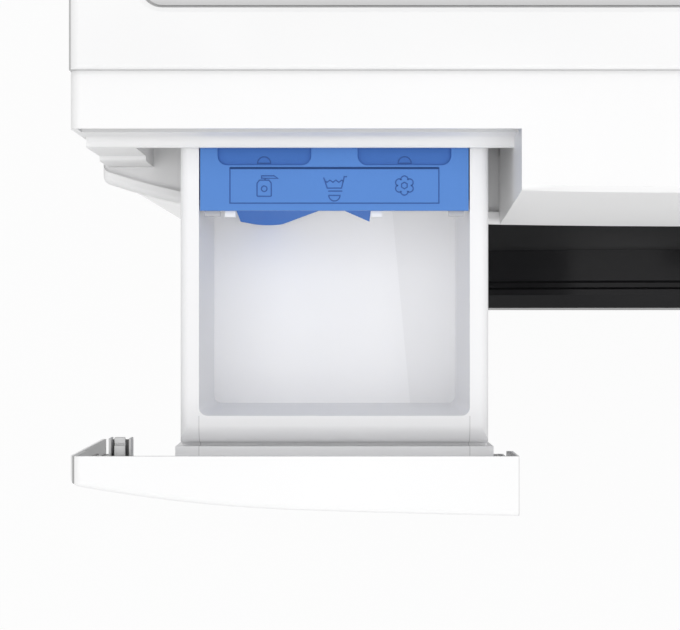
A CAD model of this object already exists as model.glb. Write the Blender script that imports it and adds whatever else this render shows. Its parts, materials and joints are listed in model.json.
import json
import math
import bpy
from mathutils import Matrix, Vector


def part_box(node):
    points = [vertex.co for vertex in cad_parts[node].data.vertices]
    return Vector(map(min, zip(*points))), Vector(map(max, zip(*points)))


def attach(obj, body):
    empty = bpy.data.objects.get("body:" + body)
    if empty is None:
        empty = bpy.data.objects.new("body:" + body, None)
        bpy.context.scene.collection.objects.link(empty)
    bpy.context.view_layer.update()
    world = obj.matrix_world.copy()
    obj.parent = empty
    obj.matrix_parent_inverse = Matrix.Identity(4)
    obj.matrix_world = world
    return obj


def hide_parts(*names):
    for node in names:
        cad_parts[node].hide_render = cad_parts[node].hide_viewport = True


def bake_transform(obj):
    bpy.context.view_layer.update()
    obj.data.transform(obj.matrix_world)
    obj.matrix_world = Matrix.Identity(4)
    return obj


bl_info = {
    "name": "Front load washing machine",
    "version": (1, 0, 0),
    "blender": (4, 5, 0),
    "location": "3D View > Sidebar > Washer",
    "description": "Finishes and small parts for a front load washing machine",
    "category": "Object",
}

import bmesh
import bpy
from bpy.props import FloatProperty, FloatVectorProperty, IntProperty, PointerProperty
from mathutils import Matrix, Vector

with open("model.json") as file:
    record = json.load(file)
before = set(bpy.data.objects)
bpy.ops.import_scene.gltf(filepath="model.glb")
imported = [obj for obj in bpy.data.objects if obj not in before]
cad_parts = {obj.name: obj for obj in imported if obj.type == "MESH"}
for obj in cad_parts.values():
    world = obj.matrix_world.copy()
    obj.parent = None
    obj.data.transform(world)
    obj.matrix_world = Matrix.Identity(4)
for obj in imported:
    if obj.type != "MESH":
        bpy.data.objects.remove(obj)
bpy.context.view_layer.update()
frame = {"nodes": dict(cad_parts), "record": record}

# Width of the photograph and focal length of its camera in pixels, and the width of the render's sensor
PHOTO_W = 680
FOCAL_PX = 1885
SENSOR_MM = 36.0


def low(node):
    """Lowest corner of a CAD node."""
    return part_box(node)[0]


def high(node):
    """Highest corner of a CAD node."""
    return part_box(node)[1]


def middle(node):
    """Middle of a CAD node's box."""
    return (low(node) + high(node)) / 2


def half_width(node):
    """Half the width of a CAD node."""
    return (high(node).x - low(node).x) / 2


def joint(name):
    """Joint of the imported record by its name."""
    return next(made for made in frame["record"]["behaviour"]["joints"] if made["name"] == name)


MM = 0.001

# Marks: how deep their feet sink, the least cosine of a mitre, and the share of a pad that is its top
SUNK = 0.05 * MM
MITRE = 0.5
PAD_TOP = 0.96

# Edges sharper than this stay crisp
SHARP_DEGREES = 35

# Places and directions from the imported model
SEAM_Y = low("worktop").y
FASCIA_TOP = high("control_fascia").z
COVER_TOP = high("siphon_cover").z
COVER_FRONT = low("siphon_cover").y
COVER_MIDDLE = middle("siphon_cover").x
DRAWER_BACK = high("drawer_front").y
REAR_Y = high("back_panel").y
DIAL = Vector(joint("knob_turn")["pos_m"])
FACE_NORMAL = Vector(joint("knob_turn")["axis"])
DRUM_AXIS = Vector(joint("drum_spin")["pos_m"])

# Siphon cover: the frame of its signs in millimetres, as left, right, front and back, and its finger scoops
# with their marks
SIGN_FRAME = (-48.5, 48.5, 3.4, 19.7)
SCOOP_DEPTH = 1.8 * MM
SCOOP_BRIM = 0.3 * MM
SCOOP_X = 32.7 * MM
SCOOP_MARK_Y = 22.1 * MM
SCOOP_MARK_R = 3 * MM

# The fascia's front falls back by this much over this reach from its middle
BOW_DROP = 3.5 * MM
BOW_REACH = 200 * MM

# Worktop's sunk field: its margins, the depths that its colour fades between, and the shade at its edges
FIELD_SIDE = 31.6 * MM
FIELD_FRONT = 27 * MM
FIELD_FLOOR = 1.9 * MM
FIELD_BRIM = 1.6 * MM
FIELD_FADE = 11 * MM
FIELD_SHADE = 0.8

# Inside of the drawer: its floor, the seams of its front corners, the outer lugs under the cover, and
# the faint crease across its floor
BIN_FLOOR = low("drawer_box").z + 2.2 * MM
BIN_FRONT = DRAWER_BACK + 15.7 * MM
BIN_HALF = 62.9 * MM
SEAM_HALF = 0.2 * MM
SEAM_SHADE = 0.5
LUG_SIDE = 52.5 * MM
LUG_EDGE = 60.8 * MM
LUG_REACH = 8 * MM
LUG_DROP = 14 * MM
CREASE_X = COVER_MIDDLE + 28.9 * MM
CREASE_SLANT = 0.0925
CREASE_FADE = 30 * MM
CREASE_RISE = 0.6 * MM
CREASE_SHADE = 0.14

# Drawer front: how far its bare hollow reaches in from its back, and the shaded line at its right end
HOLLOW_DEPTH = 12.2 * MM
END_LINE = 0.5 * MM

# Drawer catch: its place from the drawer front's left end and from the fascia's top
CATCH_IN = 16.6 * MM
CATCH_DROP = 16 * MM

# Finger ridges of the filter flap: half lengths and heights from its top in millimetres, width and rise
RIDGES = ((16, -11), (13, -15), (10, -19))
RIDGE_WIDTH = 1.6 * MM
RIDGE_RISE = 0.7 * MM

# Cap that closes the lip's right end, from the seam forwards
CAP_LENGTH = 28.4 * MM
CAP_WALL = 2 * MM
CAP_SOFT = 0.25 * MM

# Ticks of the dial
LONG_TICK = 4.5 * MM
SHORT_TICK = 2.6 * MM
TICK_WIDTH = 0.9 * MM
TICK_RISE = 0.08 * MM

# Rings of the knob's grip in millimetres, as rise over the face and how far the ridges stand out or the
# ring draws in, and the vertices round each ridge
GRIP_RINGS = ((1.2, -0.2), (1.8, 0.45), (11.4, 0.45), (12.2, -0.2))
GRIP_STEPS = 6

# Pointer of the knob: its ends as shares of the knob's radius, its width and its rise
POINTER_ENDS = (0.38, 0.80)
POINTER_WIDTH = 1.8 * MM
POINTER_RISE = 0.2 * MM

# Leaning faces of the knob's cap and the keys, from the front of their boxes, and how far the keys' signs
# sit over the dial's middle
KNOB_LEAN = 1.95 * MM
KEY_LEAN = 0.33 * MM
KEY_RAISE = 0.3 * MM

# Back: sheet of the access cover, and the louvres, whose columns stand in from its sides, with the power
# that flattens their crowns
COVER_SHEET = 1.2 * MM
LOUVRE_IN = 66.8 * MM
LOUVRE_PITCH = 20 * MM
LOUVRE_DEPTH = 9 * MM
LOUVRE_OUT = 4.5 * MM
LOUVRE_FLAT = 0.35

# Screws of the back: columns along its sides, a pair along its top and foot, and a ring in the cover's rim
SCREW_IN = 13 * MM
SCREW_FOOT = 35 * MM
SCREW_ROWS = 4
SCREW_PITCH = 190 * MM
SCREW_TOP = 30 * MM
SCREW_PAIR = 150 * MM
SCREW_EDGE = 15 * MM
SCREW_RIM = 9 * MM

# Ribbed hose from the sump to the pump
HOSE_R = 17 * MM
HOSE_WALL = 3 * MM
HOSE_RIB = 2.4 * MM
HOSE_PITCH = 9 * MM
HOSE_CUFF = 14 * MM
HOSE_STEPS = 40
HOSE_SIDES = 40

# Punched holes of the drum: rows round it, pitch along it, radius as a share of the pitch, and the wall
# that they go through
HOLE_ROWS = 120
HOLE_PITCH = 12.3 * MM
HOLE_SHARE = 0.13
HOLE_WALL = 3 * MM

# Heights of the fine grain and of the glass's ripple, and the colour of print
GRAIN_HEIGHT = 0.5 * MM
RIPPLE_HEIGHT = 2 * MM
INK = (0.16, 0.165, 0.175)


def metres(name, description, default):
    """Setting for a length."""
    return FloatProperty(name=name, description=description, default=default, unit="LENGTH")


def whole(name, description, default):
    """Setting for a whole number."""
    return IntProperty(name=name, description=description, default=default)


def tint(name, description, default):
    """Setting for a colour."""
    return FloatVectorProperty(
        name=name, description=description, default=default, subtype="COLOR", min=0, max=1
    )


class WasherSizes(bpy.types.PropertyGroup):
    """Sizes and numbers that can be changed"""

    camera_rise: metres("Camera rise", "Height of the camera over the fascia's top", 0.833)
    camera_x: metres("Camera across", "Place of the camera across the machine", -0.1804)
    camera_ahead: metres("Camera ahead", "Distance of the camera ahead of the worktop's front edge", 0.108)
    floor_half: metres("Floor half width", "Half the width of the floor", 6.0)
    sign_line: metres("Sign line width", "Width of the raised lines of the signs", 0.0006)
    sign_rise: metres("Sign line height", "Height of the raised lines of the signs", 0.0002)
    tick_radius: metres("Dial radius", "Radius of the ring of ticks round the programme knob", 0.0275)
    ticks: whole("Dial ticks", "Number of ticks round the programme knob", 14)
    ridges: whole("Knob ridges", "Number of grip ridges round the programme knob", 36)
    screw_radius: metres("Screw radius", "Radius of the flange of a hexagon head screw on the back", 0.0052)
    louvres: whole("Louvres", "Number of louvres in each column on the back", 6)
    louvre_length: metres("Louvre length", "Length of one pressed louvre", 0.076)
    gasket_wall: metres("Gasket wall", "Thickness of the door gasket's rubber", 0.003)


class WasherColours(bpy.types.PropertyGroup):
    """Colours that can be changed"""

    white: tint("White", "Colour of the white plastic and enamel", (0.90, 0.90, 0.902))
    field: tint("Worktop field", "Colour of the sunk field of the worktop", (0.74, 0.74, 0.743))
    lilac: tint("Drawer", "Colour of the drawer box", (0.912, 0.912, 0.922))
    blue: tint("Siphon cover", "Colour of the siphon cover", (0.093, 0.255, 0.665))
    scoop: tint("Finger scoops", "Colour of the siphon cover's finger scoops", (0.053, 0.176, 0.540))
    flap: tint("Liquid flap", "Colour of the liquid flap", (0.069, 0.235, 0.740))
    sign: tint("Signs", "Colour of the signs on the siphon cover", (0.040, 0.115, 0.36))
    black: tint("Door ring", "Colour of the door's outer ring", (0.010, 0.010, 0.011))


class Nodes:
    """Short way to write a node tree."""

    def __init__(self, tree):
        self.tree = tree

    def add(self, kind, values=None, **settings):
        made = self.tree.nodes.new(kind)
        for key, value in settings.items():
            setattr(made, key, value)
        for socket, value in (values or {}).items():
            if isinstance(value, bpy.types.NodeSocket):
                self.tree.links.new(value, made.inputs[socket])
            else:
                made.inputs[socket].default_value = value
        return made

    def math(self, operation, first, second=0.0):
        return self.add("ShaderNodeMath", {0: first, 1: second}, operation=operation).outputs[0]

    def minus(self, first, second):
        return self.math("SUBTRACT", first, second)

    def apart(self, first, second):
        return self.math("ABSOLUTE", self.minus(first, second))

    def over(self, first, second):
        return self.math("GREATER_THAN", first, second)

    def under(self, first, second):
        return self.math("LESS_THAN", first, second)

    def times(self, first, *others):
        """Product of values, or where all of several masks are 1."""
        for other in others:
            first = self.math("MULTIPLY", first, other)
        return first

    def reach(self, first, second):
        """Distance of a point from the origin of its plane."""
        squares = [self.math("POWER", part, 2.0) for part in (first, second)]
        return self.math("SQRT", self.math("ADD", *squares))

    def noise(self, place, scale, detail):
        made = self.add("ShaderNodeTexNoise", {"Vector": place, "Scale": scale, "Detail": detail})
        return made.outputs["Fac"]

    def spread(self, value, start, end, low_out, high_out):
        made = self.add(
            "ShaderNodeMapRange",
            {"Value": value, "From Min": start, "From Max": end, "To Min": low_out, "To Max": high_out},
        )
        return made.outputs["Result"]

    def mix(self, factor, first, second):
        made = self.add("ShaderNodeMix", {0: factor, 6: first, 7: second}, data_type="RGBA")
        return made.outputs[2]


def shade_group(name, inputs, outputs, fill):
    """Shader node group with named sockets, built the first time it is asked for."""
    found = bpy.data.node_groups.get(name)
    if found:
        return found
    group = bpy.data.node_groups.new(name, "ShaderNodeTree")
    for label, kind, value in inputs:
        socket = group.interface.new_socket(label, in_out="INPUT", socket_type=kind)
        socket.default_value = value
    for label, kind in outputs:
        group.interface.new_socket(label, in_out="OUTPUT", socket_type=kind)
    nodes = Nodes(group)
    source = nodes.add("NodeGroupInput").outputs
    target = nodes.add("NodeGroupOutput").inputs
    for label, socket in fill(nodes, source).items():
        group.links.new(socket, target[label])
    return group


FLOAT = "NodeSocketFloat"
COLOUR = "NodeSocketColor"
SKIN = (("Colour", COLOUR), ("Roughness", FLOAT), ("Height", FLOAT))


def fill_moulded(nodes, source):
    place = nodes.add("ShaderNodeTexCoord").outputs["Object"]
    drift = nodes.noise(place, source["Drift scale"], 3.0)
    share = nodes.spread(drift, 0.3, 0.7, 0.0, 1.0)
    rub = nodes.times(drift, source["Gloss drift"])
    return {
        "Colour": nodes.mix(share, source["Colour"], source["Shade"]),
        "Roughness": nodes.math("ADD", source["Roughness"], rub),
        "Height": nodes.noise(place, source["Grain scale"], 4.0),
    }


def moulded_group():
    """Moulded or painted skin: slow drift of colour and gloss, with a fine grain."""
    inputs = [
        ("Colour", COLOUR, (0.8, 0.8, 0.8, 1)),
        ("Shade", COLOUR, (0.75, 0.75, 0.75, 1)),
        ("Roughness", FLOAT, 0.35),
        ("Gloss drift", FLOAT, 0.08),
        ("Drift scale", FLOAT, 7.0),
        ("Grain scale", FLOAT, 1800.0),
    ]
    return shade_group("Moulded skin", inputs, SKIN, fill_moulded)


def fill_brushed(nodes, source):
    place = nodes.add("ShaderNodeTexCoord").outputs["Object"]
    stretch = nodes.add("ShaderNodeVectorMath", {0: place, 1: source["Stretch"]}, operation="MULTIPLY")
    streak = nodes.noise(stretch.outputs[0], 1.0, 5.0)
    spangle = nodes.add("ShaderNodeTexVoronoi", {"Vector": place, "Scale": source["Spangle scale"]})
    share = nodes.times(streak, spangle.outputs["Color"])
    return {
        "Colour": nodes.mix(share, source["Colour"], source["Shade"]),
        "Roughness": nodes.spread(streak, 0.25, 0.75, 0.26, 0.46),
        "Height": streak,
    }


def brushed_group():
    """Rolled or galvanised metal: stretched streaks over a faint spangle."""
    inputs = [
        ("Colour", COLOUR, (0.6, 0.6, 0.6, 1)),
        ("Shade", COLOUR, (0.45, 0.45, 0.46, 1)),
        ("Stretch", "NodeSocketVector", (60.0, 60.0, 900.0)),
        ("Spangle scale", FLOAT, 90.0),
    ]
    return shade_group("Brushed metal", inputs, SKIN, fill_brushed)


def bare_material(name):
    """New material with its Principled shader and a short way to add nodes."""
    material = bpy.data.materials.new(name)
    material.use_nodes = True
    return material, Nodes(material.node_tree), material.node_tree.nodes["Principled BSDF"]


def opaque(colour):
    return (*colour[:3], 1.0)


def darker(colour, share):
    return tuple(part * share for part in colour[:3])


def bump_into(nodes, shader, height, strength, distance):
    bump = nodes.add("ShaderNodeBump", {"Height": height, "Strength": strength, "Distance": distance})
    nodes.tree.links.new(bump.outputs["Normal"], shader.inputs["Normal"])


def skinned(name, group, relief, values):
    """New material whose colour, gloss and grain come from a node group set to these values."""
    material, nodes, shader = bare_material(name)
    skin = nodes.add("ShaderNodeGroup", node_tree=group)
    for label, value in values.items():
        skin.inputs[label].default_value = value
    nodes.tree.links.new(skin.outputs["Colour"], shader.inputs["Base Color"])
    nodes.tree.links.new(skin.outputs["Roughness"], shader.inputs["Roughness"])
    bump_into(nodes, shader, skin.outputs["Height"], relief, GRAIN_HEIGHT)
    return material, shader


def moulded(
    name, colour, shade=0.95, rough=0.35, drift=0.08, grain=1800.0, relief=0.05, coat=0.0, shine=0.5
):
    """Moulded plastic, paint or rubber."""
    values = {
        "Colour": opaque(colour),
        "Shade": opaque(darker(colour, shade)),
        "Roughness": rough,
        "Gloss drift": drift,
        "Grain scale": grain,
    }
    material, shader = skinned(name, moulded_group(), relief, values)
    shader.inputs["Coat Weight"].default_value = coat
    shader.inputs["Specular IOR Level"].default_value = shine
    return material


def metal(name, colour, shade=0.75, stretch=(60.0, 60.0, 900.0), spangle=90.0, relief=0.03):
    """Sheet, bar or cast metal."""
    values = {
        "Colour": opaque(colour),
        "Shade": opaque(darker(colour, shade)),
        "Stretch": stretch,
        "Spangle scale": spangle,
    }
    material, shader = skinned(name, brushed_group(), relief, values)
    shader.inputs["Metallic"].default_value = 1.0
    return material


def satin(name, colours):
    """White satin plastic."""
    return moulded(name, colours.white, shade=0.98, rough=0.36, grain=2400.0)


def ink(name):
    """Dark print."""
    return moulded(name, INK, rough=0.5)


def dress(material, *names):
    """Give CAD nodes their finish."""
    for name in names:
        slots = frame["nodes"][name].data.materials
        slots.clear()
        slots.append(material)


def repaint(material, mask_of, colour):
    """Lay a second colour over a finish, where the mask made from the object's own place is 1."""
    nodes = Nodes(material.node_tree)
    shader = material.node_tree.nodes["Principled BSDF"]
    under = shader.inputs["Base Color"].links[0].from_socket
    spot = nodes.add("ShaderNodeTexCoord").outputs["Object"]
    place = nodes.add("ShaderNodeSeparateXYZ", {0: spot}).outputs
    both = nodes.mix(mask_of(nodes, place), under, opaque(colour))
    nodes.tree.links.new(both, shader.inputs["Base Color"])


def laminate(colours):
    """White worktop board whose sunk field is greyer, most of all along its edges."""
    material = moulded("Worktop laminate", colours.white, rough=0.38, grain=900.0, relief=0.06)
    rim = high("worktop").z
    half = high("worktop").x - FIELD_SIDE
    front = SEAM_Y + FIELD_FRONT

    def sunk(nodes, place):
        return nodes.spread(place["Z"], rim - FIELD_FLOOR, rim - FIELD_BRIM, 1.0, 0.0)

    def near_edge(nodes, place):
        side = nodes.minus(half, nodes.math("ABSOLUTE", place["X"]))
        ahead = nodes.minus(place["Y"], front)
        fade = nodes.spread(nodes.math("MINIMUM", side, ahead), 0.0, FIELD_FADE, FIELD_SHADE, 0.0)
        return nodes.times(sunk(nodes, place), fade)

    repaint(material, sunk, colours.field)
    repaint(material, near_edge, darker(colours.field, 0.62))
    return material


def drawer_plastic(colours):
    """Pale drawer plastic with its floor's faint crease, its front corners' seams and its shaded lugs."""
    material = moulded("Drawer plastic", colours.lilac, shade=0.985, rough=0.4, grain=2200.0)
    spine = middle("drawer_box").x

    def creased(nodes, place):
        run = nodes.times(nodes.minus(COVER_FRONT, place["Y"]), CREASE_SLANT)
        past = nodes.minus(place["X"], nodes.math("ADD", run, CREASE_X))
        fade = nodes.spread(past, 0.0, CREASE_FADE, CREASE_SHADE, 0.0)
        return nodes.times(nodes.over(past, 0.0), fade, nodes.under(place["Z"], BIN_FLOOR + CREASE_RISE))

    def seamed(nodes, place):
        off = nodes.apart(nodes.apart(place["X"], spine), BIN_HALF)
        return nodes.times(nodes.under(off, SEAM_HALF), SEAM_SHADE, nodes.under(place["Y"], BIN_FRONT))

    def lugged(nodes, place):
        side = nodes.apart(place["X"], spine)
        across = nodes.times(nodes.over(side, LUG_SIDE), nodes.under(side, LUG_EDGE))
        near = nodes.under(nodes.apart(place["Y"], COVER_FRONT), LUG_REACH)
        return nodes.times(near, across, nodes.over(place["Z"], COVER_TOP - LUG_DROP))

    repaint(material, creased, darker(colours.lilac, 0.55))
    repaint(material, lugged, darker(colours.lilac, 0.55))
    repaint(material, seamed, darker(colours.lilac, 0.5))
    return material


def front_plastic(colours):
    """White drawer front whose hollow is bare grey plastic and whose right end is a shade darker."""
    material = satin("Drawer front plastic", colours)
    box_low, box_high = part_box("drawer_front")

    def hollow(nodes, place):
        return nodes.times(
            nodes.over(place["X"], box_low.x + MM),
            nodes.under(place["X"], box_high.x - MM),
            nodes.over(place["Y"], DRAWER_BACK - HOLLOW_DEPTH),
            nodes.under(place["Z"], FASCIA_TOP - MM),
        )

    def ended(nodes, place):
        return nodes.over(place["X"], box_high.x - END_LINE)

    repaint(material, hollow, darker(colours.white, 0.42))
    repaint(material, ended, darker(colours.white, 0.78))
    return material


def cover_plastic(colours):
    """Blue plastic of the siphon cover, deeper in its finger scoops."""
    material = moulded("Blue plastic", colours.blue, shade=0.94, rough=0.45, grain=2600.0, shine=0.25)

    def scooped(nodes, place):
        return nodes.spread(place["Z"], COVER_TOP - SCOOP_DEPTH, COVER_TOP - SCOOP_BRIM, 1.0, 0.0)

    repaint(material, scooped, colours.scoop)
    return material


def drum_steel():
    """Brushed drum sheet with rows of punched holes."""
    material = metal("Drum steel", (0.66, 0.66, 0.67), stretch=(900.0, 40.0, 900.0), spangle=400.0)

    def punched(nodes, place):
        up = nodes.minus(place["Z"], DRUM_AXIS.z)
        across = nodes.times(nodes.math("ARCTAN2", place["X"], up), HOLE_ROWS / (2 * math.pi))
        along = nodes.math("DIVIDE", place["Y"], HOLE_PITCH)
        odd = nodes.math("FLOORED_MODULO", nodes.math("FLOOR", along), 2.0)
        shifted = nodes.math("ADD", across, nodes.times(odd, 0.5))
        first = nodes.minus(nodes.math("FRACT", shifted), 0.5)
        second = nodes.minus(nodes.math("FRACT", along), 0.5)
        hole = nodes.under(nodes.reach(first, second), HOLE_SHARE)
        return nodes.times(hole, nodes.over(nodes.reach(place["X"], up), high("drum").x - HOLE_WALL))

    repaint(material, punched, (0.02, 0.02, 0.022))
    return material


def bowl_glass():
    """Clear glass with a faint ripple and film."""
    material, nodes, shader = bare_material("Bowl glass")
    place = nodes.add("ShaderNodeTexCoord").outputs["Object"]
    ripple = nodes.noise(place, 14.0, 1.0)
    rough = nodes.spread(nodes.noise(place, 40.0, 6.0), 0.3, 0.8, 0.01, 0.05)
    nodes.tree.links.new(rough, shader.inputs["Roughness"])
    shader.inputs["Base Color"].default_value = (0.93, 0.97, 0.96, 1)
    shader.inputs["Transmission Weight"].default_value = 1.0
    shader.inputs["IOR"].default_value = 1.5
    bump_into(nodes, shader, ripple, 0.04, RIPPLE_HEIGHT)
    return material


class Sheet:
    """Place that marks are drawn on, measured in metres across it, up it and out of it."""

    def __init__(self, origin, normal, bowed=False):
        self.origin = Vector(origin)
        self.normal = Vector(normal).normalized()
        level = abs(self.normal.z) > 0.9
        self.across = Vector((1, 0, 0)) if level else Vector((0, 0, 1)).cross(self.normal).normalized()
        self.up = self.normal.cross(self.across)
        self.bowed = bowed

    def sag(self, x):
        """How far the bowed front has fallen back at this place from the sheet's origin."""
        if not self.bowed:
            return 0.0
        there = self.origin.x + x
        return BOW_DROP * (there**2 - self.origin.x**2) / BOW_REACH**2

    def at(self, x, y, rise=0.0):
        spot = self.origin + self.across * x + self.up * y + self.normal * rise
        return spot + Vector((0, self.sag(x), 0))

    def moved(self, x, y):
        return Sheet(self.at(x, y), self.normal, self.bowed)


def back_sheet(x, z, out=0.0):
    """Place on the back panel, or this far out from it."""
    return Sheet((x, REAR_Y + out, z), (0, 1, 0))


def add_piece(name, mesh, materials, body):
    """Finish a mesh as a piece that rides on a body, or on none where it is blended later."""
    bmesh.ops.remove_doubles(mesh, verts=mesh.verts, dist=1e-7)
    data = bpy.data.meshes.new(name)
    for face in mesh.faces:
        face.smooth = True
    mesh.to_mesh(data)
    mesh.free()
    piece = bpy.data.objects.new(name, data)
    bpy.context.scene.collection.objects.link(piece)
    for material in materials:
        data.materials.append(material)
    data.set_sharp_from_angle(angle=math.radians(SHARP_DEGREES))
    if body:
        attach(piece, body)
    return piece


def millimetres(points):
    return [(x * MM, y * MM) for x, y in points]


def arc(x, y, radius, start, end, steps=16):
    """Points along an arc, with its angles in degrees."""
    angles = [math.radians(start + (end - start) * step / steps) for step in range(steps + 1)]
    return [(x + radius * math.cos(angle), y + radius * math.sin(angle)) for angle in angles]


def stroke(mesh, sheet, points, width, rise, closed=False):
    """Raised line with leaning sides along points on a sheet."""
    spots = [Vector(point) for point in points]
    count = len(spots)
    lanes = ((-0.5, -SUNK), (-0.3, rise), (0.3, rise), (0.5, -SUNK))
    rows = []
    for index, spot in enumerate(spots):
        runs = []
        if closed or index:
            runs.append((spot - spots[index - 1]).normalized())
        if closed or index < count - 1:
            runs.append((spots[(index + 1) % count] - spot).normalized())
        sides = [Vector((-run.y, run.x)) for run in runs]
        side = sum(sides, Vector((0, 0))).normalized()
        reach = width / max(side.dot(sides[0]), MITRE)
        places = [sheet.at(*(spot + side * reach * lane), height) for lane, height in lanes]
        rows.append([mesh.verts.new(place) for place in places])
    ends = rows[1:] + rows[:1] if closed else rows[1:]
    for first, second in zip(rows, ends):
        for lane in range(3):
            mesh.faces.new((first[lane], second[lane], second[lane + 1], first[lane + 1]))
    if not closed:
        mesh.faces.new(rows[0])
        mesh.faces.new(rows[-1][::-1])


def pad(mesh, sheet, points, rise):
    """Raised patch with a flat top and leaning sides; its points run anticlockwise."""
    centre = sum((Vector(point) for point in points), Vector((0, 0))) / len(points)
    foot = [mesh.verts.new(sheet.at(*point, -SUNK)) for point in points]
    inner = [centre + (Vector(point) - centre) * PAD_TOP for point in points]
    top = [mesh.verts.new(sheet.at(*point, rise)) for point in inner]
    mesh.faces.new(top)
    for index in range(len(points)):
        after = (index + 1) % len(points)
        mesh.faces.new((foot[index], foot[after], top[after], top[index]))


def bridged(mesh, rings):
    """Faces between each ring of vertices and the next."""
    for first, second in zip(rings, rings[1:]):
        for index in range(len(first)):
            after = (index + 1) % len(first)
            mesh.faces.new((first[index], first[after], second[after], second[index]))


def turned(mesh, sheet, profile, steps, closed=False):
    """Profile of (radius, rise) pairs turned about the sheet's normal."""
    rings = []
    for radius, rise in profile:
        spots = arc(0, 0, radius, 0, 360, steps)[:-1]
        rings.append([mesh.verts.new(sheet.at(x, y, rise)) for x, y in spots])
    bridged(mesh, rings + rings[:1] if closed else rings)
    return rings


def bar(mesh, corner, opposite, soft):
    """Bar with softened edges between two corners."""
    first, last = Vector(corner), Vector(opposite)
    place = Matrix.LocRotScale((first + last) / 2, None, last - first)
    made = bmesh.ops.create_cube(mesh, size=1.0, matrix=place)["verts"]
    edges = list({edge for vert in made for edge in vert.link_edges})
    bmesh.ops.bevel(mesh, geom=edges, offset=soft, segments=2, profile=0.5, affect="EDGES")


# Profiles of a hexagon screw's flange and head: radius and rise as shares of the flange's radius
SCREW_FLANGE = ((1.0, 0.0), (1.0, 0.10), (0.94, 0.16), (0.70, 0.26))
SCREW_HEAD = ((0.74, 0.20), (0.74, 0.72), (0.66, 0.80), (0.44, 0.80), (0.34, 0.68))


def hexagon_screw(mesh, sheet, radius):
    """Flanged hexagon head with a dimple in its top."""
    for profile, steps in ((SCREW_FLANGE, 32), (SCREW_HEAD, 6)):
        rings = turned(mesh, sheet, [(radius * wide, radius * rise) for wide, rise in profile], steps)
    mesh.faces.new(rings[-1])


def louvre(mesh, sheet, length):
    """Pressed hood, open along its lower edge, with the dark slot under it."""
    steps, lifts = 20, 6
    grid, foot = [], []
    for step in range(steps + 1):
        along = (step / steps - 0.5) * length
        crown = math.sin(math.pi * step / steps) ** LOUVRE_FLAT if 0 < step < steps else 0.0
        row = []
        for lift in range(lifts + 1):
            turn = lift / lifts * math.pi / 2
            drop = LOUVRE_DEPTH * (1 - math.cos(turn))
            place = sheet.at(along, -drop, LOUVRE_OUT * crown * math.sin(turn))
            row.append(mesh.verts.new(place))
        grid.append(row)
        foot.append(mesh.verts.new(sheet.at(along, -LOUVRE_DEPTH)))
    for first, second in zip(grid, grid[1:]):
        for lift in range(lifts):
            mesh.faces.new((first[lift + 1], second[lift + 1], second[lift], first[lift]))
    for step in range(steps):
        slot = mesh.faces.new((foot[step], foot[step + 1], grid[step + 1][-1], grid[step][-1]))
        slot.material_index = 1


def smoothed(points, steps=6):
    """Rounded line through points."""
    spots = [Vector(point) for point in points]
    spots = [2 * spots[0] - spots[1], *spots, 2 * spots[-1] - spots[-2]]
    line = []
    for before, start, end, after in zip(spots, spots[1:], spots[2:], spots[3:]):
        for step in range(steps):
            t = step / steps
            pull = (end - before) * t + (2 * before - 5 * start + 4 * end - after) * t**2
            line.append(start + (pull + (3 * start - before - 3 * end + after) * t**3) / 2)
    return [*line, spots[-2]]


def heading(line, index):
    """Run of a line at one of its points, from the point before to the point after."""
    return line[min(index + 1, len(line) - 1)] - line[max(index - 1, 0)]


class WASHER_OT_stage(bpy.types.Operator):
    """Pale floor, soft lamps and the camera"""

    bl_idname = "washer.stage"
    bl_label = "Stage"

    def execute(self, context):
        sizes = context.scene.washer_sizes
        half = sizes.floor_half
        corners = [(-half, -half, 0), (half, -half, 0), (half, half, 0), (-half, half, 0)]
        mesh = bpy.data.meshes.new("floor")
        mesh.from_pydata(corners, [], [(0, 1, 2, 3)])
        floor = bpy.data.objects.new("floor", mesh)
        context.scene.collection.objects.link(floor)
        mesh.materials.append(floor_paint())
        light_world(context.scene)
        for name, place, aim, size, watts in LAMPS:
            hang_lamp(context.scene, name, place, aim, size, watts)
        set_camera(context.scene, sizes)
        context.scene.view_settings.view_transform = "Standard"
        return {"FINISHED"}


# Softboxes: name, place, point aimed at, width and depth, power
LAMPS = (
    ("softbox_top", (-0.15, -0.35, 3.0), (-0.15, -0.35, 0.8), (3.0, 2.4), 29.5),
    ("softbox_front", (0.5, -3.2, 1.6), (0.0, -0.2, 0.5), (2.0, 1.6), 15.0),
    ("softbox_left", (-3.0, 0.3, 1.8), (0.0, 0.0, 0.5), (1.6, 1.6), 2.0),
)

# Strength of the surroundings as a light, and the floor's colour and its share of plain white to the eye
WORLD_LIGHT = 0.60
FLOOR_COLOUR = (0.80, 0.80, 0.80)
FLOOR_GLOW = 0.93


def seen_by_eye(nodes):
    """1 for rays that come from the camera, a mirror or glass."""
    path = nodes.add("ShaderNodeLightPath").outputs
    mirror = nodes.math("MAXIMUM", path["Is Glossy Ray"], path["Is Transmission Ray"])
    return nodes.math("MAXIMUM", path["Is Camera Ray"], mirror)


def floor_paint():
    """White floor that still takes the machine's shadow."""
    material, nodes, shader = bare_material("Studio floor")
    shader.inputs["Base Color"].default_value = opaque(FLOOR_COLOUR)
    shader.inputs["Roughness"].default_value = 0.9
    glow = nodes.add("ShaderNodeEmission", {"Color": (1, 1, 1, 1), "Strength": 1.0})
    share = nodes.times(seen_by_eye(nodes), FLOOR_GLOW)
    both = nodes.add("ShaderNodeMixShader", {0: share, 1: shader.outputs[0], 2: glow.outputs[0]})
    nodes.tree.links.new(both.outputs[0], nodes.tree.nodes["Material Output"].inputs["Surface"])
    return material


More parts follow.
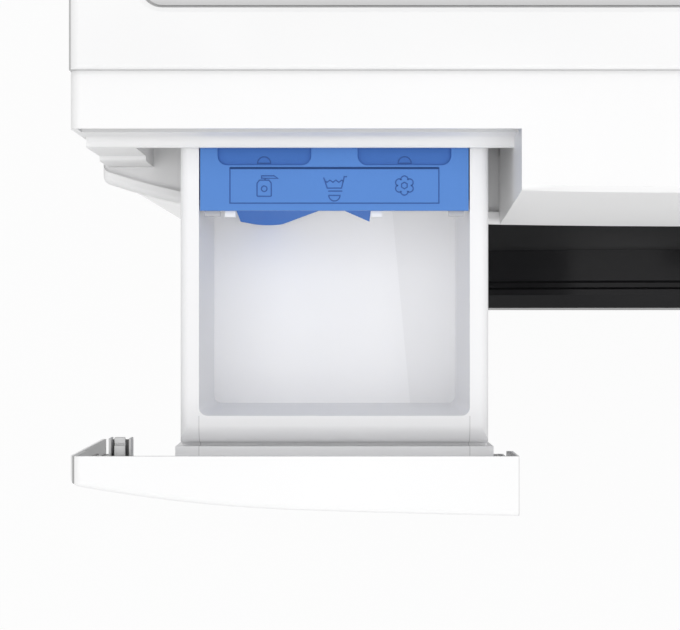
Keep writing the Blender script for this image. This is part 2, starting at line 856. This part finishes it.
def light_world(scene):
    """Even white surroundings, dimmer as a light than as a backdrop."""
    world = bpy.data.worlds.new("Studio")
    world.use_nodes = True
    scene.world = world
    nodes = Nodes(world.node_tree)
    strength = nodes.spread(seen_by_eye(nodes), 0.0, 1.0, WORLD_LIGHT, 1.0)
    back = world.node_tree.nodes["Background"]
    back.inputs["Color"].default_value = (1, 1, 1, 1)
    world.node_tree.links.new(strength, back.inputs["Strength"])


def hang_lamp(scene, name, place, aim, size, watts):
    """Rectangular softbox aimed at a point."""
    light = bpy.data.lights.new(name, "AREA")
    light.shape = "RECTANGLE"
    light.size, light.size_y = size
    light.energy = watts
    lamp = bpy.data.objects.new(name, light)
    lamp.location = place
    lamp.rotation_euler = (Vector(aim) - Vector(place)).to_track_quat("-Z", "Y").to_euler()
    lamp.visible_camera = False
    scene.collection.objects.link(lamp)


def set_camera(scene, sizes):
    """Camera that looks straight down on the drawer, as the photograph does."""
    lens = bpy.data.cameras.new("camera")
    lens.sensor_fit = "HORIZONTAL"
    lens.sensor_width = SENSOR_MM
    lens.lens = FOCAL_PX / PHOTO_W * SENSOR_MM
    camera = bpy.data.objects.new("camera", lens)
    camera.location = (sizes.camera_x, SEAM_Y - sizes.camera_ahead, FASCIA_TOP + sizes.camera_rise)
    scene.collection.objects.link(camera)
    scene.camera = camera


class WASHER_OT_cabinet_finish(bpy.types.Operator):
    """White board, enamel and fascia plastic of the cabinet"""

    bl_idname = "washer.cabinet_finish"
    bl_label = "Cabinet finish"

    def execute(self, context):
        colours = context.scene.washer_colours
        dress(laminate(colours), "worktop")
        enamel = moulded(
            "White enamel", colours.white, shade=0.98, rough=0.26, grain=260.0, relief=0.03, coat=0.3
        )
        dress(enamel, "side_panel_left", "side_panel_right", "front_panel")
        plastic = satin("White satin plastic", colours)
        dress(plastic, "control_fascia", "drawer_surround", "program_knob", "filter_flap")
        dress(plastic, "start_button", "spin_button", "option_button")
        dress(front_plastic(colours), "drawer_front")
        tone = (0.012, 0.013, 0.016)
        smoked = moulded("Smoked window", tone, rough=0.08, drift=0.05, relief=0.01, coat=0.6)
        dress(smoked, "display_window")
        zinc = metal("Galvanised sheet", (0.62, 0.63, 0.64))
        dress(zinc, "back_panel", "top_braces", "foot_locknuts")
        dress(metal("Access cover sheet", (0.50, 0.51, 0.52), spangle=120.0), "rear_access_cover")
        tray = moulded("Grey base plastic", (0.30, 0.31, 0.33), rough=0.5)
        dress(tray, "base_tray", "inlet_valve", "drain_outlet", "transit_plugs", "pump_housing")
        dark = moulded("Dark plastic", (0.05, 0.05, 0.055), rough=0.45)
        dress(dark, "cord_gland", "filter_cap", "door_lock")
        shoe = moulded("Foot rubber", (0.06, 0.06, 0.062), rough=0.75, relief=0.2, grain=1200.0)
        dress(shoe, "levelling_feet")
        board = moulded("Circuit board", (0.04, 0.18, 0.08), rough=0.4)
        dress(board, "control_board")
        return {"FINISHED"}


class WASHER_OT_dispenser_finish(bpy.types.Operator):
    """Pale drawer plastic and the blue siphon cover"""

    bl_idname = "washer.dispenser_finish"
    bl_label = "Dispenser finish"

    def execute(self, context):
        colours = context.scene.washer_colours
        lilac = moulded("Housing plastic", colours.lilac, shade=0.97, rough=0.4, grain=2200.0)
        dress(lilac, "dispenser_housing", "dispenser_lid")
        dress(drawer_plastic(colours), "drawer_box")
        dress(cover_plastic(colours), "siphon_cover")
        flap = moulded("Deep blue plastic", colours.flap, shade=0.93, rough=0.5, grain=2600.0, shine=0.05)
        dress(flap, "liquid_flap")
        hose = moulded("Hose rubber", (0.10, 0.10, 0.105), rough=0.6, relief=0.15)
        dress(hose, "fill_hose")
        return {"FINISHED"}


class WASHER_OT_door_finish(bpy.types.Operator):
    """Black ring, frame and handle, glass bowl and hinge"""

    bl_idname = "washer.door_finish"
    bl_label = "Door finish"

    def execute(self, context):
        colours = context.scene.washer_colours
        gloss = moulded(
            "Black gloss plastic", colours.black, shade=0.8, rough=0.16, drift=0.1, relief=0.01, shine=0.10
        )
        dress(gloss, "door_outer_ring", "door_handle")
        frame_black = moulded("Black satin plastic", (0.018, 0.018, 0.019), rough=0.32, shine=0.18)
        dress(frame_black, "door_inner_frame")
        dress(bowl_glass(), "door_glass")
        hinge = metal("Hinge steel", (0.55, 0.55, 0.56), spangle=300.0)
        dress(hinge, "door_hinge_bracket", "door_hinge_arm")
        return {"FINISHED"}


class WASHER_OT_drive_finish(bpy.types.Operator):
    """Tub, drum, weights, motor and suspension"""

    bl_idname = "washer.drive_finish"
    bl_label = "Drive finish"

    def execute(self, context):
        dress(drum_steel(), "drum")
        bright = metal("Bright steel", (0.60, 0.60, 0.61), spangle=500.0)
        dress(bright, "drum_shaft", "drum_bearings", "motor_shaft", "damper_rods", "heater")
        dress(metal("Motor case", (0.42, 0.42, 0.43)), "motor_housing")
        cast = metal("Cast aluminium", (0.58, 0.58, 0.59), spangle=700.0, relief=0.12)
        dress(cast, "drum_spider", "drum_pulley")
        tub = moulded("Tub plastic", (0.42, 0.43, 0.45), rough=0.5, relief=0.1)
        dress(tub, "tub_front", "tub_rear", "drum_lifters", "pump_impeller", "damper_cylinders")
        tone = (0.46, 0.45, 0.43)
        stone = moulded("Cast concrete", tone, shade=0.75, rough=0.85, relief=0.6, grain=380.0)
        dress(stone, "top_counterweight", "front_counterweight")
        belt = moulded("Belt rubber", (0.03, 0.03, 0.032), rough=0.6, relief=0.2)
        dress(belt, "drive_belt", "shaft_seal")
        return {"FINISHED"}


class WASHER_OT_cover_signs(bpy.types.Operator):
    """Raised signs of the siphon cover: frame, bottle, wash tub, flower and scoop marks"""

    bl_idname = "washer.cover_signs"
    bl_label = "Cover signs"

    def execute(self, context):
        sizes = context.scene.washer_sizes
        line, rise = sizes.sign_line, sizes.sign_rise
        mesh = bmesh.new()
        top = Sheet((COVER_MIDDLE, COVER_FRONT, COVER_TOP), (0, 0, 1))
        left, right, front, back = SIGN_FRAME
        corners = millimetres([(left, front), (right, front), (right, back), (left, back)])
        stroke(mesh, top, corners, line, rise, closed=True)
        stroke(mesh, top, corners[2:], 2 * line, rise)
        for draw, x, y in SIGNS:
            draw(mesh, top.moved(x * MM, y * MM), line, rise)
        for x in (-SCOOP_X, SCOOP_X):
            scoop = Sheet(top.at(x, SCOOP_MARK_Y, -SCOOP_DEPTH), (0, 0, 1))
            stroke(mesh, scoop, arc(0, 0, SCOOP_MARK_R, 0, 180), line, rise, closed=True)
        colour = context.scene.washer_colours.sign
        paint = moulded("Sign blue", colour, rough=0.5, grain=2600.0, shine=0.25)
        add_piece("cover_signs", mesh, [paint], "drawer")
        return {"FINISHED"}


def draw_bottle(mesh, sheet, line, rise):
    """Pump bottle."""
    side = [(3.0, -3.7), (3.3, -3.4), (3.3, 2.4), (2.2, 3.8)]
    body = [*side, *((-x, y) for x, y in reversed(side))]
    head = [(-1.2, 5.8), (-1.2, 4.7), (6.4, 4.6), (4.5, 5.8)]
    for outline in (body, head):
        stroke(mesh, sheet, millimetres(outline), line, rise, closed=True)
    stroke(mesh, sheet, millimetres([(0.4, 3.8), (0.4, 4.7)]), line, rise)
    stroke(mesh, sheet, millimetres(arc(0, -0.2, 1.3, 0, 345, 20)), line, rise, closed=True)


def draw_tub(mesh, sheet, line, rise):
    """Wash tub with its water line, and a line and a half round under it."""
    tub = [(-5.0, 3.7), (-3.3, -1.2), (3.3, -1.2), (4.6, 4.1), (5.8, 4.1)]
    swell = [(x * 0.7, 2.0 + 0.5 * math.sin(x * 1.6)) for x in range(-6, 7)]
    for path in (tub, swell, [(-2.9, -2.6), (3.7, -2.6)]):
        stroke(mesh, sheet, millimetres(path), line, rise)
    stroke(mesh, sheet, millimetres(arc(0, -4.6, 2.6, 180, 360, 12)), line, rise, closed=True)


def draw_flower(mesh, sheet, line, rise):
    """Flower of six petals round a hexagon."""
    stroke(mesh, sheet, millimetres(arc(0, 0, 1.5, 30, 330, 5)), line, rise, closed=True)
    for turn, (x, y) in enumerate(arc(0, 0, 2.75, 30, 330, 5)):
        petal = arc(x, y, 1.7, 60 * turn - 70, 60 * turn + 130, 12)
        stroke(mesh, sheet, millimetres(petal), line, rise)


# Signs of the cover, and their places in millimetres from the middle of its front edge
SIGNS = ((draw_bottle, -32.6, 10.3), (draw_tub, 0.0, 11.6), (draw_flower, 32.5, 11.6))


class WASHER_OT_drawer_catch(bpy.types.Operator):
    """Catch on the back of the drawer front that snaps into the surround"""

    bl_idname = "washer.drawer_catch"
    bl_label = "Drawer catch"

    def execute(self, context):
        white = context.scene.washer_colours.white
        corner = Vector((low("drawer_front").x + CATCH_IN, DRAWER_BACK, FASCIA_TOP - CATCH_DROP))
        for name, share, slot, bars in CATCH:
            mesh = bmesh.new()
            for first, last, soft in bars:
                bar(mesh, corner + Vector(first) * MM, corner + Vector(last) * MM, soft * MM)
            plastic = moulded("Catch plastic", darker(white, share), rough=0.42, grain=2200.0)
            add_piece(name, mesh, [plastic], "drawer")
        return {"FINISHED"}


CATCH_FLOOR = (((0, -12, 0), (10, 6.6, 1), 0.3),)
CATCH_GUIDES = (((0, -12, 0), (1, 7.6, 10), 0.25), ((9, -12, 0), (10, 7.6, 10), 0.25))
CATCH_TONGUE = (
    ((2.3, -12, 6), (7.2, 4.2, 8.5), 0.3),
    ((2.3, 3.8, 4.6), (7.2, 5.4, 7), 0.3),
    ((2.3, 5, 6), (7.2, 8, 8.2), 0.5),
)

# Catch pieces: name, share of the white, slot, and bars as two corners and a rounding in millimetres
CATCH = (
    ("drawer_catch_floor", 0.16, "dark_plastic", CATCH_FLOOR),
    ("drawer_catch_guides", 0.55, "white_plastic", CATCH_GUIDES),
    ("drawer_catch_tongue", 0.66, "white_plastic", CATCH_TONGUE),
)


class WASHER_OT_dial_marks(bpy.types.Operator):
    """Ticks round the programme knob"""

    bl_idname = "washer.dial_marks"
    bl_label = "Dial marks"

    def execute(self, context):
        sizes = context.scene.washer_sizes
        face = Sheet(DIAL, FACE_NORMAL, bowed=True)
        mesh = bmesh.new()
        for tick in range(sizes.ticks):
            angle = 2 * math.pi * tick / sizes.ticks + math.pi / 2
            along = Vector((math.cos(angle), math.sin(angle)))
            length = LONG_TICK if tick % (sizes.ticks // 2) == 0 else SHORT_TICK
            ends = [along * sizes.tick_radius, along * (sizes.tick_radius + length)]
            stroke(mesh, face, ends, TICK_WIDTH, TICK_RISE)
        add_piece("dial_marks", mesh, [ink("Dial ink")], "cabinet")
        return {"FINISHED"}


class WASHER_OT_knob_grip(bpy.types.Operator):
    """Ridged band and pointer of the programme knob"""

    bl_idname = "washer.knob_grip"
    bl_label = "Knob grip"

    def execute(self, context):
        sizes = context.scene.washer_sizes
        face = Sheet(DIAL, FACE_NORMAL)
        radius = half_width("program_knob")
        steps = sizes.ridges * GRIP_STEPS
        mesh = bmesh.new()
        rings = []
        for rise, proud in millimetres(GRIP_RINGS):
            ring = []
            for step in range(steps):
                angle = 2 * math.pi * step / steps
                crest = 0.5 + 0.5 * math.cos(angle * sizes.ridges)
                reach = radius + (proud * crest if proud > 0 else proud)
                place = face.at(reach * math.cos(angle), reach * math.sin(angle), rise)
                ring.append(mesh.verts.new(place))
            rings.append(ring)
        bridged(mesh, rings)
        grip = moulded("Knob grip", (0.55, 0.555, 0.565), rough=0.4, grain=2400.0)
        add_piece("knob_grip", mesh, [grip], "knob")
        top = (low("program_knob").y - DIAL.y) / FACE_NORMAL.y
        mesh = bmesh.new()
        cap = Sheet(face.at(0, 0, top - KNOB_LEAN), FACE_NORMAL)
        ends = [(0.0, share * radius) for share in POINTER_ENDS]
        stroke(mesh, cap, ends, POINTER_WIDTH, POINTER_RISE)
        add_piece("knob_pointer", mesh, [ink("Pointer ink")], "knob")
        return {"FINISHED"}


class WASHER_OT_key_signs(bpy.types.Operator):
    """Start, spin and timer signs on the keys"""

    bl_idname = "washer.key_signs"
    bl_label = "Key signs"

    def execute(self, context):
        line, rise = 0.55 * MM, 0.1 * MM
        print_black = ink("Key ink")
        for node, body, draw in KEYS:
            place = (middle(node).x, low(node).y + KEY_LEAN, DIAL.z + KEY_RAISE)
            face = Sheet(place, FACE_NORMAL)
            mesh = bmesh.new()
            draw(mesh, face, line, rise)
            add_piece(f"{node}_sign", mesh, [print_black], body)
        return {"FINISHED"}


def draw_start(mesh, sheet, line, rise):
    """Triangle and two bars."""
    triangle = millimetres([(-3.6, -2.0), (-0.2, 0.0), (-3.6, 2.0)])
    stroke(mesh, sheet, triangle, line, rise, closed=True)
    for x in (1.4, 3.2):
        stroke(mesh, sheet, millimetres([(x, -2.0), (x, 2.0)]), line, rise)


def draw_spin(mesh, sheet, line, rise):
    """Spiral."""
    turns, radius, start, steps = 2.25, 2.9, 5, 40
    path = []
    for step in range(start, steps + 1):
        angle = turns * 2 * math.pi * step / steps
        out = radius * step / steps
        path.append((out * math.cos(angle), out * math.sin(angle)))
    stroke(mesh, sheet, millimetres(path), line, rise)


def draw_timer(mesh, sheet, line, rise):
    """Clock face with two hands."""
    stroke(mesh, sheet, millimetres(arc(0, 0, 2.7, 0, 348, 29)), line, rise, closed=True)
    stroke(mesh, sheet, millimetres([(0.0, 1.7), (0.0, 0.0), (1.2, 0.0)]), line, rise)


# Key node, the body that it is, and its sign
KEYS = (
    ("start_button", "start_key", draw_start),
    ("spin_button", "spin_key", draw_spin),
    ("option_button", "option_key", draw_timer),
)


class WASHER_OT_display_marks(bpy.types.Operator):
    """Unlit number segments behind the display window's face"""

    bl_idname = "washer.display_marks"
    bl_label = "Display marks"

    def execute(self, context):
        node = "display_window"
        lean = (high(node).z - low(node).z) / 2 * FACE_NORMAL.z
        place = (middle(node).x, low(node).y + lean, middle(node).z)
        face = Sheet(place, FACE_NORMAL, bowed=True)
        wide, tall, line, rise = 6.2 * MM, 6.0 * MM, 1.2 * MM, 0.05 * MM
        inset, colon_x, colon_y, dot = 0.9 * MM, -8.4 * MM, 2.6 * MM, 0.8 * MM
        digits = (-19 * MM, -4 * MM, 7 * MM)
        mesh = bmesh.new()
        for x in digits:
            for y in (-tall, 0.0, tall):
                stroke(mesh, face, [(x + inset, y), (x + wide - inset, y)], line, rise)
            for side in (x, x + wide):
                for y in (-tall, 0.0):
                    stroke(mesh, face, [(side, y + inset), (side, y + tall - inset)], line, rise)
        for y in (-colon_y, colon_y):
            pad(mesh, face, arc(colon_x, y, dot, 0, 330, 11), rise)
        faint = moulded("Unlit segment", (0.050, 0.052, 0.056), rough=0.3, relief=0.02)
        add_piece("display_marks", mesh, [faint], "cabinet")
        return {"FINISHED"}


class WASHER_OT_lip_cap(bpy.types.Operator):
    """White cap that closes the lip's right end under the fascia"""

    bl_idname = "washer.lip_cap"
    bl_label = "Lip cap"

    def execute(self, context):
        side = high("worktop").x - SUNK
        seam = SEAM_Y - SUNK
        top, foot = low("control_fascia").z, high("front_panel").z
        mesh = bmesh.new()
        bar(mesh, (side - CAP_WALL, seam - CAP_LENGTH, foot), (side, seam, top), CAP_SOFT)
        plastic = satin("Lip cap plastic", context.scene.washer_colours)
        add_piece("lip_cap", mesh, [plastic], "cabinet")
        return {"FINISHED"}


class WASHER_OT_back_screws(bpy.types.Operator):
    """Hexagon head screws of the back panel and its access cover"""

    bl_idname = "washer.back_screws"
    bl_label = "Back screws"

    def execute(self, context):
        radius = context.scene.washer_sizes.screw_radius
        edge = high("back_panel").x - SCREW_IN
        base, rim = low("back_panel").z, high("back_panel").z
        column = [base + SCREW_FOOT + SCREW_PITCH * row for row in range(SCREW_ROWS)]
        column.append(rim - SCREW_TOP)
        places = [(x, z) for x in (-edge, edge) for z in column]
        places += [(x, z) for x in (-SCREW_PAIR, SCREW_PAIR) for z in (base + SCREW_EDGE, rim - SCREW_EDGE)]
        mesh = bmesh.new()
        for x, z in places:
            hexagon_screw(mesh, back_sheet(x, z), radius)
        ring = half_width("rear_access_cover") - SCREW_RIM
        for x, z in arc(DRUM_AXIS.x, DRUM_AXIS.z, ring, 30, 330, 5):
            hexagon_screw(mesh, back_sheet(x, z, COVER_SHEET), radius)
        zinc = metal("Screw steel", (0.66, 0.66, 0.65), spangle=600.0)
        add_piece("back_screws", mesh, [zinc], "cabinet")
        return {"FINISHED"}


class WASHER_OT_back_louvres(bpy.types.Operator):
    """Two columns of pressed louvres in the back panel"""

    bl_idname = "washer.back_louvres"
    bl_label = "Back louvres"

    def execute(self, context):
        sizes = context.scene.washer_sizes
        edge = high("back_panel").x - LOUVRE_IN
        mesh = bmesh.new()
        for x in (-edge, edge):
            for row in range(sizes.louvres):
                z = DRUM_AXIS.z + (row - (sizes.louvres - 1) / 2) * LOUVRE_PITCH
                louvre(mesh, back_sheet(x, z), sizes.louvre_length)
        zinc = metal("Louvre sheet", (0.62, 0.63, 0.64))
        slot = moulded("Louvre slot", (0.02, 0.02, 0.022), rough=0.8)
        add_piece("back_louvres", mesh, [zinc, slot], "cabinet")
        return {"FINISHED"}


class WASHER_OT_flap_pull(bpy.types.Operator):
    """Raised finger ridges of the filter flap"""

    bl_idname = "washer.flap_pull"
    bl_label = "Flap pull"

    def execute(self, context):
        node = "filter_flap"
        face = Sheet((middle(node).x, low(node).y, high(node).z), (0, -1, 0))
        mesh = bmesh.new()
        for half, y in RIDGES:
            stroke(mesh, face, millimetres([(-half, y), (half, y)]), RIDGE_WIDTH, RIDGE_RISE)
        plastic = satin("Flap ridge plastic", context.scene.washer_colours)
        add_piece("flap_pull", mesh, [plastic], "filter_flap")
        return {"FINISHED"}


class WASHER_OT_door_gasket(bpy.types.Operator):
    """Folded rubber bellows between the door port and the tub"""

    bl_idname = "washer.door_gasket"
    bl_label = "Door gasket"

    def execute(self, context):
        wall = context.scene.washer_sizes.gasket_wall
        front = low("door_gasket").y
        axis = Sheet((DRUM_AXIS.x, front, DRUM_AXIS.z), (0, -1, 0))
        line = smoothed(millimetres(GASKET_FOLDS))
        near, far = [], []
        for index, spot in enumerate(line):
            run = heading(line, index)
            side = Vector((-run.y, run.x)).normalized() * wall / 2
            near.append(spot + side)
            far.append(spot - side)
        profile = [(spot.x, -spot.y) for spot in [*near, *reversed(far)]]
        mesh = bmesh.new()
        turned(mesh, axis, profile, GASKET_STEPS, closed=True)
        bmesh.ops.recalc_face_normals(mesh, faces=mesh.faces)
        seal = moulded("Bellows rubber", (0.17, 0.17, 0.18), rough=0.62, relief=0.18, grain=900.0)
        gasket = add_piece("gasket_bellows", mesh, [seal], None)
        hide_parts("door_gasket")
        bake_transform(gasket)
        return {"FINISHED"}


# Bellows of the gasket: vertices round it, the length of its stiff lips, and its middle line from the
# front lip to the tub's neck as radius and depth in millimetres
GASKET_STEPS = 144
GASKET_FOLDS = (
    (158.0, 1.9),
    (164.0, 1.7),
    (168.6, 3.4),
    (169.0, 6.6),
    (165.0, 8.6),
    (160.6, 12.0),
    (159.4, 18.0),
    (162.0, 24.0),
    (168.4, 27.2),
    (171.4, 31.6),
    (168.6, 36.4),
    (170.4, 41.0),
    (176.0, 44.0),
    (178.0, 49.0),
    (178.2, 55.0),
)


class WASHER_OT_tub_springs(bpy.types.Operator):
    """Coil springs that stretch as the tub bounces"""

    bl_idname = "washer.tub_springs"
    bl_label = "Tub springs"

    def execute(self, context):
        node = "suspension_springs"
        mesh = bmesh.new()
        mesh.from_mesh(frame["nodes"][node].data)
        wire = metal("Spring wire", (0.60, 0.60, 0.61), spangle=500.0)
        coils = add_piece("spring_coils", mesh, [wire], None)
        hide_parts(node)
        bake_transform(coils)
        return {"FINISHED"}


class WASHER_OT_sump_bellows(bpy.types.Operator):
    """Ribbed hose between the tub's sump and the drain pump"""

    bl_idname = "washer.sump_bellows"
    bl_label = "Sump bellows"

    def execute(self, context):
        line = sump_line()
        mesh = bmesh.new()
        runs = [0.0]
        for start, end in zip(line, line[1:]):
            runs.append(runs[-1] + (end - start).length)
        outer, inner = [], []
        for index, spot in enumerate(line):
            run = heading(line, index).normalized()
            inside = min(runs[index], runs[-1] - runs[index]) - HOSE_CUFF
            rib = HOSE_RIB * (1 - math.cos(2 * math.pi * inside / HOSE_PITCH)) / 2 if inside > 0 else 0.0
            outer.append(hose_ring(mesh, spot, run, HOSE_R - rib))
            inner.append(hose_ring(mesh, spot, run, HOSE_R - HOSE_WALL - rib))
        for rings in (outer, inner, [outer[0], inner[0]], [outer[-1], inner[-1]]):
            bridged(mesh, rings)
        bmesh.ops.recalc_face_normals(mesh, faces=mesh.faces)
        rubber = moulded("Ribbed hose rubber", (0.10, 0.10, 0.105), rough=0.6, relief=0.15)
        hose = add_piece("sump_bellows", mesh, [rubber], None)
        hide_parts("sump_hose")
        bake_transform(hose)
        return {"FINISHED"}


def sump_line():
    """Points of the hose's middle line, from the sump down and across to the pump."""
    foot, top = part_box("sump_hose")
    x, z = foot.x + HOSE_R, foot.z + HOSE_R
    y = (foot.y + top.y) / 2
    curve = bpy.data.curves.new("sump_route", "CURVE")
    curve.dimensions = "3D"
    curve.resolution_u = HOSE_STEPS
    spline = curve.splines.new("NURBS")
    route = [(x, y, top.z), (x, y, (top.z + z) / 2), (x, y, z), ((x + top.x) / 2, y, z), (top.x, y, z)]
    spline.points.add(len(route) - 1)
    for point, spot in zip(spline.points, route):
        point.co = (*spot, 1.0)
    spline.order_u = 3
    spline.use_endpoint_u = True
    holder = bpy.data.objects.new("sump_route", curve)
    line = [vert.co.copy() for vert in bpy.data.meshes.new_from_object(holder).vertices]
    bpy.data.objects.remove(holder)
    return line


def hose_ring(mesh, spot, run, radius):
    """Ring of vertices round the hose's middle line."""
    across = Vector((0, 1, 0))
    up = run.cross(across)
    points = arc(0, 0, radius, 0, 360, HOSE_SIDES)[:-1]
    return [mesh.verts.new(spot + across * x + up * y) for x, y in points]


OPERATORS = (
    WASHER_OT_stage,
    WASHER_OT_cabinet_finish,
    WASHER_OT_dispenser_finish,
    WASHER_OT_door_finish,
    WASHER_OT_drive_finish,
    WASHER_OT_cover_signs,
    WASHER_OT_drawer_catch,
    WASHER_OT_dial_marks,
    WASHER_OT_knob_grip,
    WASHER_OT_key_signs,
    WASHER_OT_display_marks,
    WASHER_OT_lip_cap,
    WASHER_OT_back_screws,
    WASHER_OT_back_louvres,
    WASHER_OT_flap_pull,
    WASHER_OT_door_gasket,
    WASHER_OT_tub_springs,
    WASHER_OT_sump_bellows,
)


class WASHER_PT_builder(bpy.types.Panel):
    """Lists the pieces and their settings"""

    bl_label = "Washing machine"
    bl_idname = "WASHER_PT_builder"
    bl_space_type = "VIEW_3D"
    bl_region_type = "UI"
    bl_category = "Washer"

    def draw(self, context):
        layout = self.layout
        for operator in OPERATORS:
            layout.operator(operator.bl_idname)
        for group in (context.scene.washer_sizes, context.scene.washer_colours):
            column = layout.column()
            for name in group.__annotations__:
                column.prop(group, name)


CLASSES = (WasherSizes, WasherColours, *OPERATORS, WASHER_PT_builder)


def register():
    for made in CLASSES:
        bpy.utils.register_class(made)
    bpy.types.Scene.washer_sizes = PointerProperty(type=WasherSizes)
    bpy.types.Scene.washer_colours = PointerProperty(type=WasherColours)


def unregister():
    del bpy.types.Scene.washer_colours
    del bpy.types.Scene.washer_sizes
    for made in reversed(CLASSES):
        bpy.utils.unregister_class(made)


def main():
    register()
    for operator in OPERATORS:
        family, name = operator.bl_idname.split(".")
        getattr(getattr(bpy.ops, family), name)()


if __name__ == "__main__":
    main()
